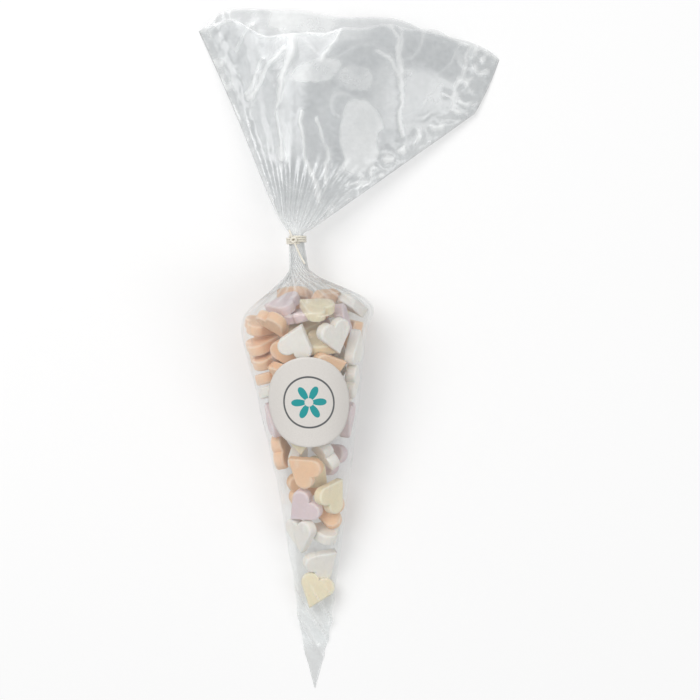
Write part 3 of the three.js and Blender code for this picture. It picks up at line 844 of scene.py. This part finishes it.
@dataclass
class Heart:
    """A pressed-sugar heart: two round lobes, straight sides to a tip at -Y, rounded rims."""

    width: float = 15.5
    height: float = 15.5
    thick: float = 4.9
    lobe: float = 4.15
    rim: float = 1.0
    rim_steps: int = 5
    lobe_steps: int = 26
    side_steps: int = 8

    def outline(self, lobe_steps: int, side_steps: int) -> np.ndarray:
        """Outline round the heart, from its tip over the right lobe.

        Args:
            lobe_steps: Steps round each lobe.
            side_steps: Steps along each side.

        Returns:
            Array of points.
        """
        x, y = self.width / 2 - self.lobe, self.height / 2 - self.lobe
        rise = y + self.height / 2
        side = math.atan2(rise, x) - math.asin(self.lobe / math.hypot(x, rise)) - math.pi / 2
        turn = np.linspace(side, math.acos(-x / self.lobe), lobe_steps + 1)
        arc = np.stack([x + self.lobe * np.cos(turn), y + self.lobe * np.sin(turn)], axis=1)
        up = np.linspace(0, 1, side_steps, endpoint=False)[:, None]
        half = np.concatenate([np.array([[0, -self.height / 2]]) * (1 - up) + arc[:1] * up, arc])
        return np.concatenate([half, (half[1:-1] * np.array([-1, 1]))[::-1]])

    def shell(self) -> tuple[np.ndarray, list, np.ndarray]:
        """Mesh of one heart in its own frame.

        Returns:
            Points in mm, faces, and how near the rim each point is, from 0 to 1.
        """
        edge = self.outline(self.lobe_steps, self.side_steps)
        turn = np.linspace(0, math.pi / 2, self.rim_steps + 1)
        inset = np.concatenate([self.rim * (1 - np.cos(turn)), [self.rim + 0.25, 2.2, 4.4, 6.4]])
        rise = np.concatenate([self.thick / 2 - self.rim + self.rim * np.sin(turn), [self.thick / 2] * 4])
        worn = np.concatenate([np.sin(2 * turn), [0.25, 0, 0, 0]])
        share = 1 - 2 * inset / self.width
        top = [np.column_stack([edge * s, np.full(len(edge), z)]) for s, z in zip(share, rise)]
        levels = [ring * np.array([1, 1, -1]) for ring in top[::-1]] + top
        marks = np.concatenate([worn[::-1], worn])
        count = len(edge)
        faces = ring_faces(len(levels), count)
        last = (len(levels) - 1) * count
        total = len(levels) * count
        faces += [(total, (i + 1) % count, i) for i in range(count)]
        faces += [(total + 1, last + i, last + (i + 1) % count) for i in range(count)]
        ends = np.array([[0, 0, -self.thick / 2], [0, 0, self.thick / 2]])
        return (np.concatenate(levels + [ends]), faces,
                np.concatenate([np.repeat(marks, count), [0, 0]]))

    def feelers(self) -> np.ndarray:
        """Points on the surface where clearance is measured."""
        edge = self.outline(6, 3)
        inset = 1 - 2 * self.rim / self.width
        top = self.thick / 2
        rows = [(edge, top - self.rim), (edge * inset, top), (edge * 0.5, top)]
        return np.concatenate([np.column_stack([flat, np.full(len(flat), side * z)])
                               for flat, z in rows for side in (-1, 1)])

    def distance(self, points: np.ndarray) -> np.ndarray:
        """Signed distance from points, in the heart's own frame, to its surface.

        Args:
            points: Array of points in mm.

        Returns:
            Distances, negative inside.
        """
        edge = self.outline(6, 1)
        start, end = edge, np.roll(edge, -1, axis=0)
        along = end - start
        p = points[:, None, :2] - start[None]
        t = np.clip((p * along).sum(-1) / (along * along).sum(-1), 0, 1)
        nearest = np.linalg.norm(p - t[..., None] * along, axis=-1).min(1)
        crosses = (start[:, 1] > points[:, None, 1]) != (end[:, 1] > points[:, None, 1])
        rise = np.where(along[:, 1] == 0, 1e-9, along[:, 1])
        cut = points[:, None, 0] < start[:, 0] + (points[:, None, 1] - start[:, 1]) * along[:, 0] / rise
        inside = (crosses & cut).sum(1) % 2 == 1
        flat = np.where(inside, -nearest, nearest) + self.rim
        deep = np.abs(points[:, 2]) - self.thick / 2 + self.rim
        outside = np.hypot(np.maximum(flat, 0), np.maximum(deep, 0))
        return np.minimum(np.maximum(flat, deep), 0) + outside - self.rim


@dataclass
class SweetHeap:
    """All the sweets: those that the CAD model has, and the ones inside the heap."""

    line: BagLine
    heart: Heart
    spots: int = 7000
    tries: int = 450
    turns: int = 45
    gap: float = 0.08
    film_gap: float = 0.2
    most_inside: int = 70
    seed: int = 11
    film_margin: float = 3.0
    nudge: float = 1.5
    used_up: float = 1.2
    lowest_at: float = 43.5
    lowest_turn: float = math.radians(-20)

    def pose_of(self, node: str) -> Matrix:
        """Place of a CAD sweet, read off its vertices: the tip is its sharp end.

        Args:
            node: Name of the CAD node.

        Returns:
            Matrix from the heart's own frame to the row frame, in mm.
        """
        raw = np.array([v.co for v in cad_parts[node].data.vertices], float) / MM
        first = [k for k, p in enumerate(raw) if np.linalg.norm(raw[:k] - p, axis=1).min(initial=1) > 0.02]
        points = raw[first]
        mean = points.mean(0)
        axes = np.linalg.eigh((points - mean).T @ (points - mean))[1]
        normal = axes[:, 0]
        flat = (points - mean) - np.outer((points - mean) @ normal, normal)
        lean = ((flat ** 2).sum(1)[:, None] * flat).sum(0)
        up = lean / np.linalg.norm(lean)
        side = np.cross(up, normal)
        along, across = flat @ up, flat @ side
        ends = [np.abs(across[along * sign > (along * sign).max() - 0.2]).mean() for sign in (-1, 1)]
        if ends[1] < ends[0]:
            up, side, along = -up, -side, -along
        depth = (points - mean) @ normal
        centre = (mean + up * (along.min() + self.heart.height / 2)
                  + normal * (depth.min() + depth.max()) / 2)
        made = Matrix.Identity(4)
        for column, axis in enumerate((side, up, normal)):
            made.col[column][:3] = axis
        made.col[3][:3] = centre
        return made

    def moved(self, points: np.ndarray, pose: Matrix) -> np.ndarray:
        """Points turned and moved by a pose."""
        matrix = np.array(pose)
        return points @ matrix[:3, :3].T + matrix[:3, 3]

    def fits(self, world: np.ndarray, pose: Matrix, known: list[tuple]) -> bool:
        """Tells whether a sweet is clear of the film and of its neighbours.

        Args:
            world: Its feelers, in the frame.
            pose: Its pose.
            known: Pose, inverse pose and feelers of each neighbour.

        Returns:
            True if it is clear.
        """
        if (self.line.room(world) < self.film_gap).any():
            return False
        inverse = np.array(pose.inverted())
        for _, back, others in known:
            mine = world @ back[:3, :3].T + back[:3, 3]
            if self.heart.distance(mine).min() < self.gap:
                return False
            theirs = others @ inverse[:3, :3].T + inverse[:3, 3]
            if self.heart.distance(theirs).min() < self.gap:
                return False
        return True

    def inner_poses(self, placed: list[Matrix]) -> list[Matrix]:
        """Finds places for more sweets: in the largest gaps of the heap first.

        Args:
            placed: Poses of the sweets that are there.

        Returns:
            Poses of the new ones.
        """
        chance = np.random.default_rng(self.seed)
        feelers = self.heart.feelers()
        known = [(np.array(p), np.array(p.inverted()), self.moved(feelers, p)) for p in placed]
        station = 36 + 144 * np.sqrt(chance.random(self.spots))
        cut = self.line.section(station)
        angle, out = chance.random(self.spots) * 2 * math.pi, np.sqrt(chance.random(self.spots))
        width = np.maximum(cut.width - self.film_margin, 0)
        height = np.maximum(cut.height - self.film_margin, 0)
        spots = self.line.place(station, cut.across + width * out * np.cos(angle),
                                cut.middle + height * out * np.sin(angle))
        free = self.line.room(spots)
        for matrix, back, _ in known:
            near = np.linalg.norm(spots - matrix[:3, 3], axis=1) < self.heart.width
            local = spots[near] @ back[:3, :3].T + back[:3, 3]
            free[near] = np.minimum(free[near], self.heart.distance(local))
        found: list[Matrix] = []
        for _ in range(self.tries):
            best = int(free.argmax())
            if free[best] < self.heart.thick / 2 or len(found) >= self.most_inside:
                break
            reach = self.heart.width * 1.6
            close = [k for k in known if np.linalg.norm(k[0][:3, 3] - spots[best]) < reach]
            for _ in range(self.turns):
                turn = Quaternion(chance.normal(size=4)).normalized()
                spot = spots[best] + chance.normal(size=3) * self.nudge
                pose = Matrix.Translation(Vector(spot)) @ turn.to_matrix().to_4x4()
                world = self.moved(feelers, pose)
                if self.fits(world, pose, close):
                    found.append(pose)
                    known.append((np.array(pose), np.array(pose.inverted()), world))
                    back = known[-1][1]
                    free = np.minimum(free, self.heart.distance(spots @ back[:3, :3].T + back[:3, 3]))
                    break
            else:
                free[np.linalg.norm(spots - spots[best], axis=1) < self.used_up] = -1
        return found

    def build(self) -> list[bpy.types.Object]:
        """Builds a fine heart for each CAD sweet, and the inner ones, one piece for each flavour.

        Returns:
            The pieces.
        """
        shell, faces, rims = self.heart.shell()
        pieces, placed = [], []
        materials = {flavour: PressedSugar(flavour).material() for flavour in Flavour}

        def made(name: str, poses: list[Matrix], flavour: Flavour) -> bpy.types.Object:
            """One piece with a heart at each pose."""
            count = len(shell)
            points = np.concatenate([self.moved(shell, pose) for pose in poses])
            all_faces = [tuple(c + k * count for c in face) for k in range(len(poses)) for face in faces]
            piece = mesh_object(name, points, all_faces)
            note_values(piece, "rim", np.tile(rims, len(poses)))
            piece.data.materials.append(materials[flavour])
            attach(piece, ROOT)
            return piece

        for node in sorted(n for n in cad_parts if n.startswith("sweet_")):
            flavour = Flavour[node.split("_")[1].upper()]
            pose = self.pose_of(node)
            placed.append(pose)
            piece = made("heart_" + node.split("_", 1)[1], [pose], flavour)
            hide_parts(node)
            pieces.append(piece)
        low = self.line.section(self.lowest_at)
        spot = self.line.place(self.lowest_at, float(low.across), float(low.middle))
        lowest = Matrix.Translation(Vector(spot)) @ Matrix.Rotation(self.lowest_turn, 4, "Z")
        pieces.append(made("heart_lowest_cream", [lowest], Flavour.CREAM))
        inner = self.inner_poses(placed + [lowest])
        log.info("sweets inside the heap: %d", len(inner))
        for k, flavour in enumerate(Flavour):
            mine = inner[k::len(Flavour)]
            if mine:
                pieces.append(made("inner_hearts_" + flavour.name.lower(), mine, flavour))
        return pieces


@dataclass
class Sticker:
    """The round paper sticker, bent over the body's top line."""

    line: BagLine
    diameter: float = 40
    thick: float = 0.15
    at: float = 128.8
    lift: float = 0.4
    rings: int = 22
    steps: int = 96

    def sheet(self, lift: float, trim: float) -> tuple[np.ndarray, np.ndarray]:
        """One face of the sticker.

        Args:
            lift: Distance over the film.
            trim: How much its radius is less than the sticker's.

        Returns:
            Points in mm and their flat coordinates in mm.
        """
        radius = np.linspace(0, self.diameter / 2 - trim, self.rings + 1)[:, None]
        turn = np.arange(self.steps)[None, :] * 2 * math.pi / self.steps
        station, aside = self.at + radius * np.cos(turn), radius * np.sin(turn)
        cut = self.line.section(station)
        angle = math.pi / 2 - aside / ((cut.width + cut.height) / 2)
        points = self.line.place(station, cut.across + (cut.width + lift) * np.cos(angle),
                                 cut.middle + (cut.height + lift) * np.sin(angle))
        return points, np.stack([aside, radius * np.cos(turn)], axis=-1)

    def build(self) -> bpy.types.Object:
        """Builds the sticker as a thin closed sheet, its two faces joined by a band round the rim.

        Returns:
            The piece.
        """
        under, flat = self.sheet(self.lift, 0)
        over, _ = self.sheet(self.lift + self.thick, 0.05)
        count = (self.rings + 1) * self.steps
        points = np.concatenate([under.reshape(-1, 3), over.reshape(-1, 3)])
        faces = []
        for k in range(self.rings):
            for i in range(self.steps):
                j = (i + 1) % self.steps
                a, b, c, d = (k * self.steps + i, (k + 1) * self.steps + i, (k + 1) * self.steps + j,
                              k * self.steps + j)
                if k:
                    faces += [(a, b, c, d), (count + d, count + c, count + b, count + a)]
                else:
                    faces += [(0, b, c), (count, count + c, count + b)]
        rim = self.rings * self.steps
        faces += [(rim + i, count + rim + i, count + rim + (i + 1) % self.steps, rim + (i + 1) % self.steps)
                  for i in range(self.steps)]
        piece = mesh_object("round_sticker", points, faces)
        layer = piece.data.uv_layers.new(name="flat")
        coordinates = np.concatenate([flat.reshape(-1, 2), flat.reshape(-1, 2)])
        corners = np.zeros(len(piece.data.loops), np.int32)
        piece.data.loops.foreach_get("vertex_index", corners)
        layer.data.foreach_set("uv", coordinates[corners].ravel())
        piece.data.materials.append(StickerPaper().material())
        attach(piece, ROOT)
        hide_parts("round_label")
        return piece


@dataclass
class NeckTie:
    """The strand tied round the neck: turns, a knot and two tails."""

    line: BagLine
    strand: float = 0.5
    gap: float = 0.3
    turns: float = 3.2
    pitch: float = 1.0
    tail: float = 11
    plies: int = 3
    ply_pitch: float = 2.4

    def tube(self, path: np.ndarray, thin_ends: bool) -> tuple[np.ndarray, list]:
        """A twisted strand along a path.

        Args:
            path: Points in mm.
            thin_ends: Whether its ends taper.

        Returns:
            Points in mm and faces.
        """
        sides = 14
        along = np.gradient(path, axis=0)
        along /= np.linalg.norm(along, axis=1)[:, None]
        run = np.concatenate([[0], np.cumsum(np.linalg.norm(np.diff(path, axis=0), axis=1))])
        normal = np.cross(along[0], [0.31, 0.17, 0.93])
        rows = []
        for k, direction in enumerate(along):
            normal = normal - direction * (normal @ direction)
            normal /= np.linalg.norm(normal)
            side = np.cross(direction, normal)
            turn = np.linspace(0, 2 * math.pi, sides, endpoint=False)
            ply = 1 - 0.16 * np.abs(np.sin(self.plies / 2 * (turn + 2 * math.pi * run[k] / self.ply_pitch)))
            end = min(run[k], run[-1] - run[k])
            taper = min(1, 0.45 + end / 0.8) if thin_ends else 1
            ring = self.strand * taper * ply
            rows.append(path[k] + np.outer(ring * np.cos(turn), normal)
                        + np.outer(ring * np.sin(turn), side))
        points = np.concatenate(rows)
        faces = ring_faces(len(path), sides)
        faces.append(tuple(range(sides))[::-1])
        faces.append(tuple((len(path) - 1) * sides + i for i in range(sides)))
        return points, faces

    def spot(self, along: float, side: float, rise: float) -> np.ndarray:
        """A point by the neck, from its middle at the tie."""
        return self.line.place(self.line.neck_at + along, side, self.line.neck_height + rise)

    def curve(self, knots: list[tuple[float, float, float]], steps: int = 60) -> np.ndarray:
        """A smooth path through points by the neck.

        Args:
            knots: Points as (along, side, rise).
            steps: How many points the path gets.

        Returns:
            Points in mm.
        """
        spots = np.array([self.spot(*k) for k in knots])
        padded = np.concatenate([[2 * spots[0] - spots[1]], spots, [2 * spots[-1] - spots[-2]]])
        path = []
        for t in np.linspace(0, len(spots) - 1.0001, steps):
            k, u = int(t), t - int(t)
            a, b, c, d = padded[k:k + 4]
            path.append(0.5 * (2 * b + (c - a) * u + (2 * a - 5 * b + 4 * c - d) * u ** 2
                               + (3 * b - a - 3 * c + d) * u ** 3))
        return np.array(path)

    def build(self) -> bpy.types.Object:
        """Builds the tie.

        Returns:
            The piece.
        """
        radius = self.line.waist_radius + self.gap + self.strand
        turn = np.linspace(0, self.turns * 2 * math.pi, 150)
        start = -self.turns * self.pitch / 2
        coil = np.array([self.spot(start + self.pitch * t / (2 * math.pi), radius * math.cos(t + 1.2),
                                   radius * math.sin(t + 1.2)) for t in turn])
        top = radius + 0.5
        knot = self.curve([
            (-1.6, -2.4, top - 1.0), (-0.8, -0.4, top + 0.7), (0.6, -0.2, top + 0.9),
            (0.9, -1.8, top + 0.5), (-0.5, -2.2, top + 0.6), (-0.9, -0.8, top + 1.2),
            (0.4, -0.3, top + 0.4), (1.4, -1.6, top - 0.6)])
        down = self.curve([(-0.3, -1.2, top + 0.4), (-self.tail * 0.35, 0.2, top + 1.1),
                           (-self.tail * 0.7, 1.8, top + 1.0), (-self.tail, 3.4, top + 1.4)])
        up = self.curve([(0.3, -1.4, top + 0.4), (2.4, -2.3, top + 0.7), (4.6, -3.0, top + 0.3)], 30)
        points, faces, count = [], [], 0
        for path, thin in ((coil, True), (knot, True), (down, True), (up, True)):
            more, shell = self.tube(path, thin)
            points.append(more)
            faces += [tuple(c + count for c in face) for face in shell]
            count += len(more)
        piece = mesh_object("neck_strand", np.concatenate(points), faces)
        piece.data.materials.append(SatinStrand().material())
        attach(piece, ROOT)
        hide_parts("neck_tie")
        return piece


@dataclass
class Studio:
    """White table, soft lamps and the camera straight above."""

    picture_mm: float = 310.8
    centre: tuple[float, float] = (0.44, -0.67)
    focus_height: float = 25
    lens: float = 250
    table_size: float = 6.0
    table_grey: float = 0.8
    table_glow: float = 0.2
    surround: float = 0.45
    key_watts: float = 9.5
    fill_watts: float = 3.4

    def floor(self) -> bpy.types.Object:
        """Makes the table top: a pale sheet that the camera sees as white, with the shadow kept."""
        half = self.table_size / 2
        mesh = bpy.data.meshes.new("table_top")
        square = [(-half, -half, 0), (half, -half, 0), (half, half, 0), (-half, half, 0)]
        mesh.from_pydata(square, [], [(0, 1, 2, 3)])
        floor = bpy.data.objects.new("table_top", mesh)
        bpy.context.scene.collection.objects.link(floor)
        made, tree = blank_material("white_table")
        seen = add_node(tree, "LightPath")
        direct = add_node(tree, "Math", {
            0: seen.outputs["Is Camera Ray"], 1: seen.outputs["Is Glossy Ray"]}, operation="MAXIMUM")
        glow = add_node(tree, "Math", {0: direct.outputs[0], 1: self.table_glow}, operation="MULTIPLY")
        matt = add_node(tree, "BsdfDiffuse", {"Color": (*[self.table_grey] * 3, 1)})
        light = add_node(tree, "Emission", {"Color": (1, 1, 1, 1), "Strength": glow.outputs[0]})
        both = add_node(tree, "AddShader", {0: matt.outputs[0], 1: light.outputs[0]})
        add_node(tree, "OutputMaterial", {"Surface": both.outputs[0]})
        mesh.materials.append(made)
        floor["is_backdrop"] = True
        return floor

    def lamp(self, name: str, at: tuple[float, float, float], size: tuple[float, float],
             power: float) -> None:
        """Adds a soft box that faces the bag.

        Args:
            name: Name of the lamp.
            at: Its place in metres.
            size: Its width and height in metres.
            power: Its power in watts.
        """
        data = bpy.data.lights.new(name, "AREA")
        data.shape, data.size, data.size_y, data.energy = "RECTANGLE", size[0], size[1], power
        lamp = bpy.data.objects.new(name, data)
        lamp.location = at
        lamp.rotation_mode = "QUATERNION"
        lamp.rotation_quaternion = (-Vector(at)).to_track_quat("-Z", "Y")
        bpy.context.scene.collection.objects.link(lamp)

    def world(self) -> None:
        """Sets a grey surround, white where it is seen directly."""
        world = bpy.data.worlds.new("surround")
        world.use_nodes = True
        tree = world.node_tree
        tree.nodes.clear()
        seen = add_node(tree, "LightPath").outputs["Is Camera Ray"]
        plain = add_node(tree, "Background", {"Color": (1, 1, 1, 1), "Strength": self.surround})
        white = add_node(tree, "Background", {"Color": (1, 1, 1, 1), "Strength": 1.0})
        both = add_node(tree, "MixShader", {0: seen, 1: plain.outputs[0], 2: white.outputs[0]})
        add_node(tree, "OutputWorld", {"Surface": both.outputs[0]})
        bpy.context.scene.world = world

    def camera(self) -> None:
        """Puts the camera straight above the bag, so that the picture's width is picture_mm."""
        data = bpy.data.cameras.new("camera")
        data.lens, data.sensor_width = self.lens, 36.0
        data.clip_start, data.clip_end = 0.05, 20
        camera = bpy.data.objects.new("camera", data)
        away = self.picture_mm * self.lens / 36.0
        camera.location = (self.centre[0] * MM, self.centre[1] * MM, (self.focus_height + away) * MM)
        bpy.context.scene.collection.objects.link(camera)
        bpy.context.scene.camera = camera

    def build(self) -> None:
        """Builds the whole stage."""
        self.floor()
        self.world()
        self.lamp("key_box", (-0.55, 0.50, 1.15), (0.8, 0.8), self.key_watts)
        self.lamp("fill_box", (0.75, -0.25, 1.05), (0.4, 0.9), self.fill_watts)
        self.camera()
        bpy.context.scene.view_settings.view_transform = "Standard"


def corners() -> list[list[float]]:
    """The shown object's lowest and highest corner as plain lists."""
    return [list(corner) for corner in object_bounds()]


def main() -> None:
    """Builds every piece in order."""
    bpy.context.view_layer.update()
    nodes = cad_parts["cone_bag"].data.vertices
    tip = min((v.co for v in nodes), key=lambda co: co.y)
    line = BagLine(tip=(tip.x / MM, tip.y / MM))
    Studio().build()
    log.info("film: %s", FilmBag(line).dress().name)
    log.info("sweets: %d pieces", len(SweetHeap(line, Heart()).build()))
    log.info("sticker: %s", Sticker(line).build().name)
    log.info("tie: %s", NeckTie(line).build().name)


if __name__ == "__main__":
    main()
